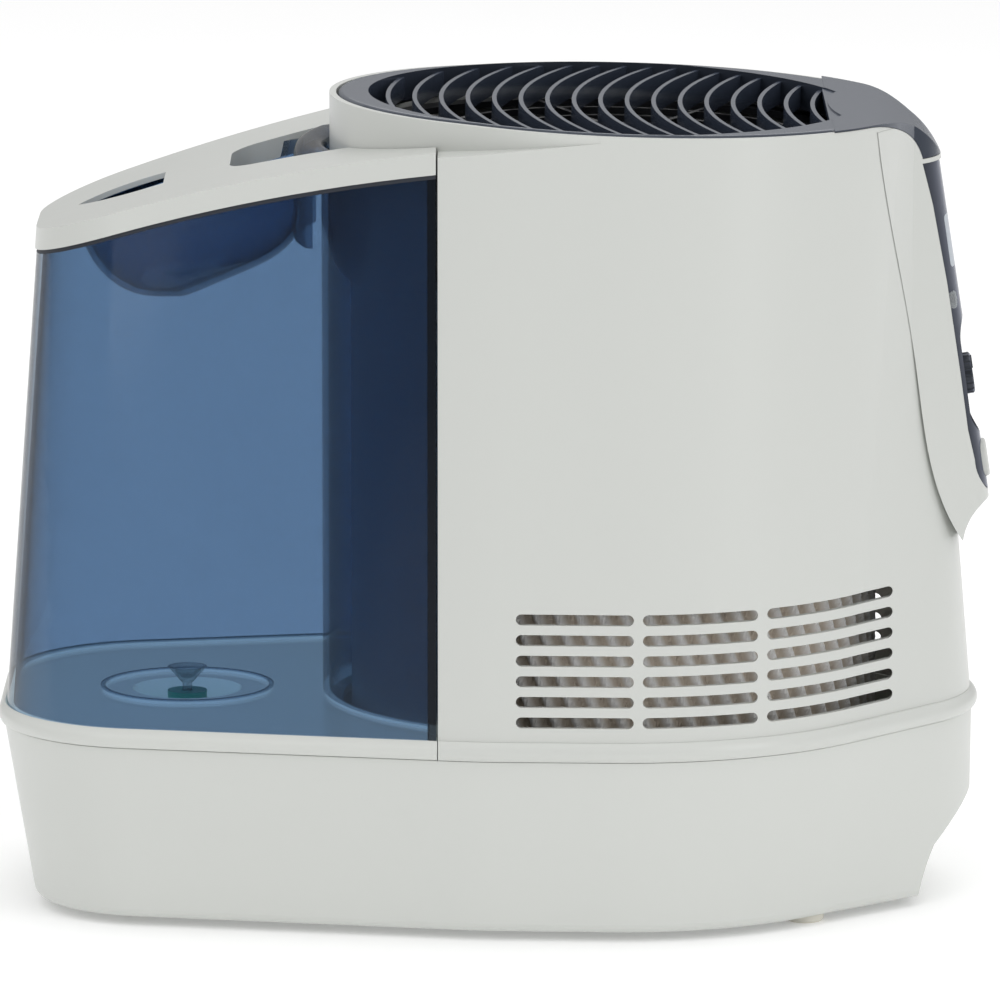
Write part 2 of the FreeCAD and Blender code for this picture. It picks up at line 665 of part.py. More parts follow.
def control_panel():
    front_half = side_prism(polygon_xz([
        (panel_x(150.0) - 14, 150.0), (250.0, 150.0), (250.0, 345.0), (panel_x(345.0) - 14, 345.0)]))
    filled = panel_body(0.0).common(pocket_front(-0.5))
    blank = filled.common(front_half)
    plate = blank.cut(panel_body(2.5))
    ribs = filled.common(box(150, 250, -30, -14.2, 200, 330).fuse(box(150, 250, 14.2, 30, 200, 330)))
    ribs = ribs.common(box(150, 250, -16, 16, 200, 330))
    dish = panel_frame(knob_dish(), KNOB_Z, KNOB_DISH_DEPTH)
    tub = panel_frame(box(-2.5, 20, -13.5, 13.5, -29.5, 29.5), KNOB_Z, KNOB_DISH_DEPTH).common(blank)
    plate = plate.fuse([tub, ribs]).cut(dish).cut(housing_solid(0.05).cut(panel_window()))
    plate = plate.cut(panel_frame(Part.makeCylinder(3.3, 40, V(-25, 0, 0), V(1, 0, 0)), KNOB_Z))
    plate = plate.cut(panel_frame(button_blank(0.4, 30.0), BUTTON_Z, 20.0))
    plate = plate.cut(lens_prism()).cut(lamp_clearance())
    return plate.cut(panel_label())


def panel_label():
    """Thin curved skin on the panel's face."""
    skin = panel_body(-0.01).cut(panel_body(0.8))
    return skin.common(panel_frame(rounded_block(22.0, 24.0, 2.0, 20.0), LABEL_Z, 10.0))


def lens_prism():
    block = panel_frame(rounded_block(4.6, 8.0, 2.2, 14.0), LENS_Z, 12.0)
    block.translate(V(0, LENS_Y, 0))
    return block


def indicator_lens():
    return lens_prism().common(panel_body(-0.7)).cut(panel_body(2.5))


def indicator_lamp():
    lamp = Part.makeCylinder(2.0, 6.8, V(-17.0, LENS_Y, 0), V(1, 0, 0))
    base = Part.makeCylinder(2.8, 1.5, V(-18.5, LENS_Y, 0), V(1, 0, 0))
    return panel_frame(lamp.fuse(base), LENS_Z)


def lamp_clearance():
    """Hole round the lamp, in the panel's rib and in the housing's wall."""
    return panel_frame(Part.makeCylinder(3.3, 20.0, V(-30.0, LENS_Y, 0), V(1, 0, 0)), LENS_Z)


def speed_knob():
    depth = KNOB_DISH_DEPTH - 0.4
    body = Part.makeCylinder(KNOB_R, depth + 0.6, V(-depth, 0, 0), V(1, 0, 0))
    rim = [e for e in body.Edges if e.BoundBox.XMin > 0.5]
    body = body.makeChamfer(0.8, rim)
    for i in range(18):
        flute = Part.makeCylinder(0.9, 30, V(-20, 0, KNOB_R + 0.35), V(1, 0, 0))
        flute.rotate(V(0, 0, 0), V(1, 0, 0), 20 * i + 10)
        body = body.cut(flute)
    pointer = box(0.0, 1.2, -0.8, 0.8, 2.0, KNOB_R - 1.6)
    body = body.fuse(pointer).cut(Part.makeCylinder(3.0, depth - 1.5, V(-depth - 0.5, 0, 0), V(1, 0, 0)))
    return panel_frame(body, KNOB_Z)


SWITCH_FACE = 9.6            # depth of the speed switch's face behind the panel's front
SWITCH_DEPTH = 14.0


def switch_shaft():
    length = SWITCH_FACE + 10.0 - 2.5
    return panel_frame(Part.makeCylinder(3.0, length, V(-SWITCH_FACE - 10.0, 0, 0), V(1, 0, 0)), KNOB_Z)


def speed_switch():
    case = box(-SWITCH_FACE - SWITCH_DEPTH, -SWITCH_FACE, -12, 12, -12, 12)
    bore = Part.makeCylinder(3.0 + SHAFT_FIT, 11.0, V(-SWITCH_FACE - 10.5, 0, 0), V(1, 0, 0))
    tags = [box(-SWITCH_FACE - SWITCH_DEPTH - 6, -SWITCH_FACE - SWITCH_DEPTH, y - 0.4, y + 0.4, -3, 3)
            for y in (-8, -3, 3, 8)]
    return panel_frame(fuse([case] + tags).cut(bore), KNOB_Z)


def power_button():
    cap = button_blank(0.0, 6.0 + BUTTON_PROUD)
    front = [e for e in cap.Edges if e.BoundBox.XMin > 5.9 + BUTTON_PROUD]
    cap = cap.makeFillet(1.2, front)
    cap.translate(V(-6.0, 0, 0))
    stub = Part.makeCylinder(2.0, 4.5, V(-10.0, 0, 0), V(1, 0, 0))
    return panel_frame(cap.fuse(stub), BUTTON_Z)


def power_switch():
    case = box(-26.0, -12.0, -9, 9, -7, 7)
    tags = [box(-32.0, -26.0, y - 0.4, y + 0.4, -3, 3) for y in (-5, 0, 5)]
    return panel_frame(fuse([case] + tags), BUTTON_Z)


def switch_bracket():
    """Plate behind both switches."""
    plate = box(-28.5, -26.0, -13, 13, -54, 26)
    window = box(-30, -20, -10, 10, -8, 8)
    low = window.copy()
    low.translate(V(0, 0, BUTTON_Z - KNOB_Z))
    lugs = [box(-28.5, -9.0, y0, y0 + 2.5, 20, 26) for y0 in (-13.0, 10.5)]
    plate = fuse([plate] + lugs).cut(window).cut(low)
    return panel_frame(plate, KNOB_Z)


def rounded_block(width, height, radius, depth):
    """Block with rounded corners, width along Y, height along Z, depth along X from 0."""
    w, h = width / 2 - radius, height / 2 - radius
    circles = [(-w, -h, radius), (w, -h, radius), (w, h, radius), (-w, h, radius)]
    block = Part.Face(hull_wire(circles, 0)).extrude(V(0, 0, depth))
    block.rotate(V(0, 0, 0), V(1, 0, 0), 90)
    block.rotate(V(0, 0, 0), V(0, 0, 1), 90)
    return block


def button_blank(grow, depth):
    return rounded_block(13.0 + 2 * grow, 17.0 + 2 * grow, 5.0, depth)


# ---- outlet grille and guard ----------------------------------------------------------------------
def tilt(shape):
    """Lean a shape, modelled level at the rim's height, to the rim's slope."""
    leaned = shape.copy()
    leaned.rotate(V(AXIS_X, 0, RIM_Z), V(0, 1, 0), math.degrees(math.atan(-RIM_SLOPE)))
    return leaned


def tongue_profile():
    """Prism under the grille's smooth front part."""
    bend = (170.0, rim_z(170.0) + 1.0)
    return side_prism(path_xz([
        ("line", (120.0, 300.0), (120.0, rim_z(120.0) + 1.0)),
        ("line", (120.0, rim_z(120.0) + 1.0), bend),
        ("arc", bend, (190.6, 352.3), (202.0, 338.3)),
        ("line", (202.0, 338.3), (260.0, 338.3)),
        ("line", (260.0, 338.3), (260.0, 300.0)),
        ("line", (260.0, 300.0), (120.0, 300.0)),
    ]))


def disc_face(x, z, r):
    return Part.Face(Part.Wire([Part.Circle(V(x, 0, z), UP, r).toShape()]))


def opening_face(z):
    """Outlet opening: narrower towards the front, and cut off by the front part's bowed edge."""
    circle = disc_face(OPENING_X, z, OPENING_R)
    narrowing = disc_face(OPENING_FRONT[0], z, OPENING_FRONT[1])
    bow = disc_face(TONGUE_X + 160.0, z, 160.0)
    return circle.common(narrowing).cut(bow)


def grille_bars():
    """Curved bars, all one shape, set at even steps across the opening."""
    top, bottom = RIM_Z - 1.0, RIM_Z - 1.0 - BAR_DEPTH
    well = rod(OPENING_X, 0, bottom - 1, top + 1, OPENING_R + 2.0)
    bars = []
    first = OPENING_X - OPENING_R + 9.0
    count = int((TONGUE_X - first) / BAR_PITCH) + 1
    for i in range(count):
        x = first + i * BAR_PITCH
        blade = tube(x + BAR_R, 0, bottom, top, BAR_R + BAR_WIDTH / 2, BAR_R - BAR_WIDTH / 2)
        blade = blade.common(box(-100, 200, -130, 130, bottom, top))
        bars.append(blade.common(well))
    return bars


def outlet_grille():
    plate = drum_plate(RIM_Z - LEDGE_DROP + 0.02, RIM_Z + 0.8, -WALL - GRILLE_GAP)
    edge = [e for e in plate.Edges if e.BoundBox.ZMin > RIM_Z]
    plate = plate.makeFillet(2.5, edge)
    opening = opening_face(RIM_Z - 20).extrude(V(0, 0, 40))
    plate = plate.cut(opening)
    ring = tilt(plate)
    bars = [tilt(bar) for bar in grille_bars()]
    skin = hood_solid().common(tongue_profile()).cut(top_profile(-0.3))
    skin = skin.common(box(TONGUE_X, 260, -200, 200, 300, 420)).cut(opening)
    under = housing_solid(-WALL - 0.3).common(top_profile(-0.3)).cut(top_profile(3.0, 2.0))
    under = under.common(box(150, 260, -200, 200, 300, 420))
    ring = ring.common(top_profile(-1.2))
    grille = fuse([ring, skin, under] + bars)
    for x, y in grille_screw_places():
        grille = grille.cut(rod(x, y, 320, rim_z(x) - 5.9, SCREW_R))
    return grille


def fan_guard():
    """Round safety guard, screwed up under the ledge together with the grille."""
    high = RIM_Z - LEDGE_DROP - LEDGE_THICK
    low = high - GUARD_THICK
    rings = [tube(AXIS_X, 0, low, high, r + 1.2, r - 1.2) for r in (30.0, 56.0, 82.0)]
    rings.append(drum_plate(low, high, -WALL - GRILLE_GAP).cut(rod(AXIS_X, 0, low, high, 108.0)))
    hub = rod(AXIS_X, 0, low, high, 10.0)
    spokes = []
    for i in range(8):
        spoke = box(AXIS_X, AXIS_X + 110, -1.2, 1.2, low, high)
        spoke.rotate(V(AXIS_X, 0, 0), UP, 45 * i + 22.5)
        spokes.append(spoke)
    guard = tilt(fuse([hub] + rings + spokes)).common(box(-120, 180, -200, 200, 300, 400))
    for x, y in grille_screw_places():
        guard = guard.cut(rod(x, y, 320, 380, SCREW_R + 0.3))
    return guard


def grille_screw_places():
    return [polar(r, a) for r, a in ((121.6, 40), (124.0, 155), (124.5, 180), (124.0, 205), (121.6, 320))]


def grille_screws():
    head_drop = LEDGE_DROP + LEDGE_THICK + GUARD_THICK + 2.12
    return Part.makeCompound([screw(x, y, rim_z(x) - head_drop, 14.0, 1) for x, y in grille_screw_places()])


# ---- fan, shroud and motor --------------------------------------------------------------------------
def deck_screw_places():
    return [polar(r, a) for r, a in ((123.0, 58), (118.5, 142), (118.5, 218), (123.0, 302))]


def fan_shroud():
    deck = housing_solid(-WALL - 0.2).common(box(-200, 300, -200, 200, DECK_Z, DECK_Z + 3))
    throat = tube(AXIS_X, 0, DECK_Z, 322, THROAT_R + 2.5, THROAT_R)
    shroud = deck.fuse(throat).cut(rod(AXIS_X, 0, DECK_Z - 1, DECK_Z + 4, THROAT_R))
    for x, y in deck_screw_places():
        shroud = shroud.cut(rod(x, y, DECK_Z - 1, DECK_Z + 4, SCREW_R + 0.3))
    for x, y in mount_screw_places():
        shroud = shroud.cut(rod(x, y, DECK_Z - 1, DECK_Z + 4, SCREW_R))
    return shroud


def shroud_screws():
    return Part.makeCompound([screw(x, y, DECK_Z + 5, 18.0) for x, y in deck_screw_places()])


MOTOR_R = 43.0
STATOR_Z = (234.0, 254.0)
MOUNT_ANGLES = (0, 90, 180, 270)


def mount_screw_places():
    return [polar(107.5, a) for a in MOUNT_ANGLES]


def motor_mount():
    ring = tube(AXIS_X, 0, 252, DECK_Z, MOTOR_R + 5, MOTOR_R + 0.1)
    arms = []
    for angle in MOUNT_ANGLES:
        arm = box(AXIS_X + MOTOR_R + 3, AXIS_X + 112, -5, 5, DECK_Z - 6, DECK_Z)
        arm.rotate(V(AXIS_X, 0, 0), UP, angle)
        arms.append(arm)
    mount = fuse([ring] + arms)
    for x, y in mount_screw_places():
        mount = mount.cut(rod(x, y, DECK_Z - 7, DECK_Z + 1, SCREW_R + 0.3))
    return mount


def mount_screws():
    return Part.makeCompound([screw(x, y, DECK_Z - 8, 11.0, 1) for x, y in mount_screw_places()])


def bracket(z_disc, z_rim, z_seat0, z_seat1):
    """Motor end cup: disc, skirt and bearing seat."""
    low, high = min(z_disc[0], z_rim), max(z_disc[1], z_rim)
    cup = tube(AXIS_X, 0, low, high, MOTOR_R, MOTOR_R - 2.5)
    disc = rod(AXIS_X, 0, z_disc[0], z_disc[1], MOTOR_R)
    seat = rod(AXIS_X, 0, z_seat0, z_seat1, 11.0)
    cup = fuse([cup, disc, seat]).cut(rod(AXIS_X, 0, z_seat0 - 1, z_seat1 + 1, 8.0))
    for i in range(6):
        x, y = polar(25.0, 60 * i + 15)
        cup = cup.cut(rod(x, y, z_disc[0] - 1, z_disc[1] + 1, 4.0))
    for x, y in motor_bolt_places():
        cup = cup.cut(rod(x, y, z_disc[0] - 1, z_disc[1] + 1, SCREW_R))
    return cup


def lower_bracket():
    return bracket((213.0, 216.0), 240.0, 208.0, 219.0)


def upper_bracket():
    return bracket((272.0, 275.0), 248.0, 269.0, 280.0)


def motor_bolt_places():
    return [polar(37.0, a) for a in (45, 135, 225, 315)]


def motor_bolts():
    return Part.makeCompound([screw(x, y, 277.0, 66.0) for x, y in motor_bolt_places()])


def motor_bearings():
    lower = tube(AXIS_X, 0, 208.0, 219.0, 8.0, SHAFT_R + SHAFT_FIT)
    upper = tube(AXIS_X, 0, 269.0, 280.0, 8.0, SHAFT_R + SHAFT_FIT)
    return Part.makeCompound([lower, upper])


def stator_stack():
    stack = tube(AXIS_X, 0, *STATOR_Z, MOTOR_R - 2.5, 23.0)
    for x, y in motor_bolt_places():
        stack = stack.cut(rod(x, y, STATOR_Z[0] - 1, STATOR_Z[1] + 1, SCREW_R))
    return stack


def stator_windings():
    coils = []
    for z0, z1 in ((223.0, STATOR_Z[0]), (STATOR_Z[1], 265.0)):
        coil = tube(AXIS_X, 0, z0, z1, 33.0, 24.5)
        far = z0 if z0 < STATOR_Z[0] else z1
        rims = [e for e in coil.Edges if abs(e.BoundBox.ZMin - far) < 0.1 and abs(e.BoundBox.ZMax - far) < 0.1]
        coils.append(coil.makeFillet(3.0, rims))
    return Part.makeCompound(coils)


def motor_rotor():
    rotor = tube(AXIS_X, 0, *STATOR_Z, 22.6, SHAFT_R)
    rings = tube(AXIS_X, 0, STATOR_Z[0] - 3, STATOR_Z[1] + 3, 20.0, 13.0)
    return rotor.fuse(rings)


def fan_shaft():
    return rod(AXIS_X, 0, 204.0, 322.0, SHAFT_R)


def fan_blade():
    low, high = HUB_Z
    hub = rod(AXIS_X, 0, low, high, 24.0).cut(rod(AXIS_X, 0, low - 1, high - 3, 21.5))
    sleeve = rod(AXIS_X, 0, low, high, 8.0)
    fan = hub.fuse(sleeve)
    for i in range(5):
        web = box(AXIS_X + 6, AXIS_X + 23, -1, 1, low + 4, high - 2)
        web.rotate(V(AXIS_X, 0, 0), UP, 72 * i)
        fan = fan.fuse(web)
    for i in range(BLADE_COUNT):
        blade = one_blade()
        blade.rotate(V(AXIS_X, 0, 0), UP, 360.0 / BLADE_COUNT * i)
        fan = fan.fuse(blade)
    fan = fan.common(rod(AXIS_X, 0, low - 20, high + 20, FAN_R))
    return fan.cut(rod(AXIS_X, 0, low - 1, high + 1, SHAFT_R))


BLADE_COUNT = 5
BLADE_STATIONS = ((22.5, 34.0, 38.0), (55.0, 56.0, 30.0), (99.0, 66.0, 24.0))   # radius, chord, pitch in degrees


def one_blade():
    """Thin cambered blade, twisted along its length."""
    wires = []
    middle_z = (HUB_Z[0] + HUB_Z[1]) / 2
    for radius, chord, pitch in BLADE_STATIONS:
        a = math.radians(pitch)
        points = []
        for along, up in ((-0.5, -0.8), (0.0, 2.6), (0.5, -0.8), (0.5, 0.8), (0.0, 4.4), (-0.5, 0.8)):
            s = along * chord
            points.append(V(AXIS_X + radius, s * math.cos(a) - up * math.sin(a),
                            middle_z - 3.0 + s * math.sin(a) + up * math.cos(a)))
        wires.append(Part.makePolygon(points + [points[0]]))
    return Part.makeLoft(wires, True, False)


def fan_nut():
    cap = rod(AXIS_X, 0, HUB_Z[1], 320.0, 9.0)
    dome = Part.makeSphere(9.0, V(AXIS_X, 0, 317.0)).common(box(0, 120, -20, 20, 318, 330))
    nut = cap.fuse(dome).common(rod(AXIS_X, 0, HUB_Z[1], 328.0, 9.0))
    for i in range(6):
        flat = box(7.6, 12, -12, 12, 300, 318)
        flat.rotate(V(0, 0, 0), UP, 60 * i)
        flat.translate(V(AXIS_X, 0, 0))
        nut = nut.cut(flat)
    return nut.cut(rod(AXIS_X, 0, 300, 322, SHAFT_R))


# ---- wick ----------------------------------------------------------------------------------------------
def wick_filter():
    return tube(AXIS_X, 0, WICK_BOTTOM, WICK_TOP, WICK_R, WICK_R - WICK_THICK)


def wick_base_ring():
    """Ring the wick stands on, with ports that let the water in."""
    floor = FOOT_HEIGHT + WALL + 0.3
    base = tube(AXIS_X, 0, floor, WICK_BOTTOM, WICK_R + 2, RING_INNER_R)
    ports = []
    for i in range(12):
        port = box(AXIS_X + RING_INNER_R - 4, AXIS_X + WICK_R + 6, -9, 9, floor - 1, floor + 8)
        port.rotate(V(AXIS_X, 0, 0), UP, 30 * i)
        ports.append(port)
    return base.cut(Part.makeCompound(ports))


def wick_top_ring():
    """Cap ring that holds the wick's upper edge to shape."""
    cap = tube(AXIS_X, 0, WICK_TOP, WICK_TOP + 2, WICK_R + 2.2, RING_INNER_R)
    lip = tube(AXIS_X, 0, WICK_TOP - 4, WICK_TOP, WICK_R + 2.2, WICK_R + 0.2)
    return cap.fuse(lip)


SUB_PARTS = (
    base_tray, tray_feet, tank_cradle,
    tank_body, tank_lid, lid_gasket, tank_handle_well,
    tank_cap, cap_gasket, valve_stem, valve_seal, valve_spring,
    fan_housing, front_bezel, cord_grommet,
    control_panel, indicator_lens, indicator_lamp, panel_label,
    speed_knob, switch_shaft, speed_switch, power_button, power_switch, switch_bracket,
    outlet_grille, fan_guard, grille_screws,
    fan_shroud, shroud_screws, motor_mount, mount_screws,
    lower_bracket, upper_bracket, motor_bolts, motor_bearings,
    stator_stack, stator_windings, motor_rotor, fan_shaft, fan_blade, fan_nut,
    wick_filter, wick_base_ring, wick_top_ring,
)


if __name__ == "__main__":
    os.makedirs("parts", exist_ok=True)
    for sub_part in SUB_PARTS:
        save(sub_part.__name__, sub_part())
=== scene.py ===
"""Looks of the console humidifier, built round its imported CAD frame. Metres, +Z up."""
import math

import bmesh
import bpy
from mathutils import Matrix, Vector


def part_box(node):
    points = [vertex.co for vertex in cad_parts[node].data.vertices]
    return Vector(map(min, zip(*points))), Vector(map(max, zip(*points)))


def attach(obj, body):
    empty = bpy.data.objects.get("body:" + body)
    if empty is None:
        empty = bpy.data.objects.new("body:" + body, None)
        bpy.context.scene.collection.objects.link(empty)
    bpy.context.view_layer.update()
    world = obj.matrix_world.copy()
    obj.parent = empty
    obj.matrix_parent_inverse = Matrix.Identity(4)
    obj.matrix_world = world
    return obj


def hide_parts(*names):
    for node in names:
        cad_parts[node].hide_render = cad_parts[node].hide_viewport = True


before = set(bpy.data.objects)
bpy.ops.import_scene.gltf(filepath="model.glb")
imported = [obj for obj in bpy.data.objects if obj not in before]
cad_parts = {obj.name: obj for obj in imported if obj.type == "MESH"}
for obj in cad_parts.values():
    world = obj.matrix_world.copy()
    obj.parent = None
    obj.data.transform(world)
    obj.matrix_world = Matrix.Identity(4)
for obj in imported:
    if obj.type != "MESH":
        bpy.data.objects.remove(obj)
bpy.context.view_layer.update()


# ---- camera and light ---------------------------------------------------------------------
CAMERA_AT = Vector((0.0028, -4.330, 0.958))
CAMERA_AIM = Vector((0.0028, 0.0, 0.178))
CAMERA_LENS = 348.0
HORIZON_LIGHT = 0.40         # the surroundings are dimmer low down, so glancing reflections are soft
TOP_LIGHT = 0.95
HORIZON_SPAN = (0.15, 0.65)  # where the surroundings change from the one to the other
CLEAR_WALLS = 24             # see-through faces that one ray may pass
FLOOR_RADIUS = 6.0

# Area lights: place, target, width, height, watts
LIGHTS = {
    "overhead": ((0.1, -0.4, 2.2), (0.0, 0.0, 0.2), 1.6, 1.6, 6.0),
    "front_left": ((-1.6, -2.2, 1.3), (-0.05, 0.0, 0.2), 0.9, 1.6, 6.2),
    "front_right": ((1.9, -1.7, 1.0), (0.1, 0.0, 0.2), 0.7, 1.6, 9.0),
    "back": ((0.3, 2.2, 1.6), (0.0, 0.0, 0.2), 1.6, 1.0, 5.0),
}


def aim(obj, at, target):
    obj.location = at
    obj.rotation_mode = "QUATERNION"
    obj.rotation_quaternion = (Vector(target) - Vector(at)).to_track_quat("-Z", "Y")


def make_camera():
    """Long lens, far off, square to the long side and a little above it."""
    data = bpy.data.cameras.new("camera")
    data.lens = CAMERA_LENS
    data.sensor_width = 36.0
    data.clip_end = 60.0
    camera = bpy.data.objects.new("camera", data)
    bpy.context.scene.collection.objects.link(camera)
    aim(camera, CAMERA_AT, CAMERA_AIM)
    bpy.context.scene.camera = camera


def area_light(name, at, target, width, height, watts):
    data = bpy.data.lights.new(name, "AREA")
    data.shape = "RECTANGLE"
    data.size = width
    data.size_y = height
    data.energy = watts
    light = bpy.data.objects.new(name, data)
    bpy.context.scene.collection.objects.link(light)
    aim(light, at, target)


def make_world():
    """White surroundings, brighter overhead than at the horizon."""
    world = bpy.data.worlds.new("studio")
    world.use_nodes = True
    tree = world.node_tree
    height = tree.nodes.new("ShaderNodeSeparateXYZ")
    direction = tree.nodes.new("ShaderNodeTexCoord").outputs["Generated"]
    tree.links.new(direction, height.inputs["Vector"])
    ramp = tree.nodes.new("ShaderNodeMapRange")
    set_range(ramp, HORIZON_SPAN[0], HORIZON_SPAN[1], HORIZON_LIGHT, TOP_LIGHT)
    tree.links.new(height.outputs["Z"], ramp.inputs["Value"])
    tree.links.new(ramp.outputs["Result"], tree.nodes["Background"].inputs["Strength"])
    tree.nodes["Background"].inputs["Color"].default_value = (1.0, 1.0, 1.0, 1.0)
    bpy.context.scene.world = world


def make_studio():
    make_world()
    bpy.context.scene.view_settings.view_transform = "Standard"
    bpy.context.scene.cycles.transparent_max_bounces = CLEAR_WALLS
    for name, (at, target, width, height, watts) in LIGHTS.items():
        area_light(name, at, target, width, height, watts)


def make_floor():
    """Round sheet of white paper under the object."""
    mesh = bpy.data.meshes.new("floor")
    floor = bmesh.new()
    bmesh.ops.create_circle(floor, cap_ends=True, segments=64, radius=FLOOR_RADIUS)
    floor.to_mesh(mesh)
    floor.free()
    obj = bpy.data.objects.new("floor", mesh)
    bpy.context.scene.collection.objects.link(obj)
    mesh.materials.append(floor_paint())


# ---- node helpers -------------------------------------------------------------------------
def set_range(ranger, start, end, low, high):
    for socket, number in zip(("From Min", "From Max", "To Min", "To Max"), (start, end, low, high)):
        ranger.inputs[socket].default_value = number


class Paint:
    """A material being wired up, with Object coordinates in metres."""

    def __init__(self, name):
        self.material = bpy.data.materials.new(name)
        self.material.use_nodes = True
        self.tree = self.material.node_tree
        self.tree.nodes.clear()
        self.output = self.node("OutputMaterial")
        self.shader = self.node("BsdfPrincipled")
        self.link(self.shader.outputs["BSDF"], self.output.inputs["Surface"])
        self.place = self.node("TexCoord").outputs["Object"]

    def node(self, kind):
        return self.tree.nodes.new("ShaderNode" + kind)

    def link(self, a, b):
        self.tree.links.new(a, b)

    def set(self, **values):
        for key, value in values.items():
            self.shader.inputs[key.replace("_", " ")].default_value = value

    def noise(self, scale, detail=2.0, stretch=(1.0, 1.0, 1.0), rough=0.5):
        """Noise from 0 to 1. scale is in cells per metre."""
        mapping = self.node("Mapping")
        mapping.inputs["Scale"].default_value = stretch
        self.link(self.place, mapping.inputs["Vector"])
        texture = self.node("TexNoise")
        texture.inputs["Scale"].default_value = scale
        texture.inputs["Detail"].default_value = detail
        texture.inputs["Roughness"].default_value = rough
        self.link(mapping.outputs["Vector"], texture.inputs["Vector"])
        return texture.outputs["Fac"]

    def layers(self, scale, distortion=0.0):
        """Even layers stacked along Z, from 0 to 1."""
        texture = self.node("TexWave")
        texture.bands_direction = "Z"
        texture.inputs["Scale"].default_value = scale
        texture.inputs["Distortion"].default_value = distortion
        self.link(self.place, texture.inputs["Vector"])
        return texture.outputs["Fac"]

    def span(self, value, low, high, start=0.0, end=1.0):
        """Map start..end of a value onto low..high, clamped."""
        ranger = self.node("MapRange")
        set_range(ranger, start, end, low, high)
        self.link(value, ranger.inputs["Value"])
        return ranger.outputs["Result"]

    def blend(self, value, dark, light):
        """Colour between two colours, by a value from 0 to 1."""
        mixer = self.node("Mix")
        mixer.data_type = "RGBA"
        for socket in mixer.inputs:
            if socket.name == "A" and socket.type == "RGBA":
                socket.default_value = (*dark, 1.0)
            if socket.name == "B" and socket.type == "RGBA":
                socket.default_value = (*light, 1.0)
        self.link(value, mixer.inputs["Factor"])
        return [s for s in mixer.outputs if s.type == "RGBA"][0]

    def colour(self, value, dark, light):
        """Give the shader a colour between two colours."""
        self.link(self.blend(value, dark, light), self.shader.inputs["Base Color"])

    def roughness(self, value, low, high, start=0.0, end=1.0):
        """Give the shader a roughness between low and high, and return it."""
        rough = self.span(value, low, high, start, end)
        self.link(rough, self.shader.inputs["Roughness"])
        return rough

    def math(self, operation, a, b):
        worker = self.node("Math")
        worker.operation = operation
        for socket, value in zip(worker.inputs, (a, b)):
            if isinstance(value, (int, float)):
                socket.default_value = value
            else:
                self.link(value, socket)
        return worker.outputs["Value"]

    def edge_on(self, power):
        """0 where the surface faces the viewer, 1 where it is seen edge on, raised to a power."""
        weight = self.node("LayerWeight")
        weight.inputs["Blend"].default_value = 0.5
        return self.math("POWER", weight.outputs["Facing"], power)

    def bump(self, height, depth):
        worker = self.node("Bump")
        worker.inputs["Distance"].default_value = depth
        self.link(height, worker.inputs["Height"])
        self.link(worker.outputs["Normal"], self.shader.inputs["Normal"])


def scaled(colour, factor):
    """A colour made brighter or darker."""
    return tuple(min(1.0, c * factor) for c in colour)


def moulded(name, colour, rough, grain=0.000006, grain_scale=2600.0, shift=0.03, painted_sheen=None):
    """Moulded plastic with a fine grain, and slight flow marks in its colour and gloss.

    Dark glossy plastic has instead a painted sheen: a lighter second colour where it is seen at a
    glancing angle."""
    paint = Paint(name)
    if painted_sheen:
        # painted sheen: the base colour turns lighter where the surface is seen edge on
        paint.colour(paint.edge_on(2.0), colour, painted_sheen)
        paint.set(Specular_Tint=SKY_TINT)
    else:
        flow = paint.noise(9.0, 3.0, (1.0, 1.0, 0.35))
        paint.colour(flow, scaled(colour, 1 - shift), scaled(colour, 1 + shift))
    paint.roughness(paint.noise(38.0, 4.0), rough * 0.93, rough * 1.08, 0.2, 0.8)
    paint.bump(paint.noise(grain_scale, 2.0), grain)
    paint.set(IOR=1.5)
    return paint.material


def metal(name, colour, rough, scale=900.0, depth=0.00001):
    """Bare metal with a fine grain in its colour and gloss."""
    paint = Paint(name)
    grain = paint.noise(scale, 3.0)
    paint.colour(grain, scaled(colour, 0.86), scaled(colour, 1.1))
    paint.roughness(grain, rough * 0.75, rough * 1.3, 0.25, 0.75)
    paint.bump(grain, depth)
    paint.set(Metallic=1.0)
    return paint.material


def tank_regions(paint, haze, depth, surface, cover):
    """Give the tank a pale hazy floor that glows with painted light, and return its tint's depth with
    the dark end wall added.
    """
    place = paint.node("SeparateXYZ")
    paint.link(paint.place, place.inputs["Vector"])
    past = paint.span(place.outputs["X"], 0.0, 1.0, TANK_EDGE_X - TANK_BLUR, TANK_EDGE_X + TANK_BLUR)
    above = paint.span(place.outputs["Z"], 0.0, 1.0, TANK_FLOOR_Z - TANK_BLUR, TANK_FLOOR_Z + TANK_BLUR)
    paint.link(paint.span(above, TANK_FLOOR_HAZE, cover), haze.inputs["Fac"])
    paint.colour(above, TANK_FLOOR_PALE, surface)
    # painted light: emission on the floor region stands in for the light the pale tray throws up
    painted_floor_light = paint.blend(above, TANK_FLOOR_PAINTED_LIGHT, (0.0, 0.0, 0.0))
    paint.link(painted_floor_light, paint.shader.inputs["Emission Color"])
    paint.set(Emission_Strength=1.0)
    return paint.math("MAXIMUM", depth, past)


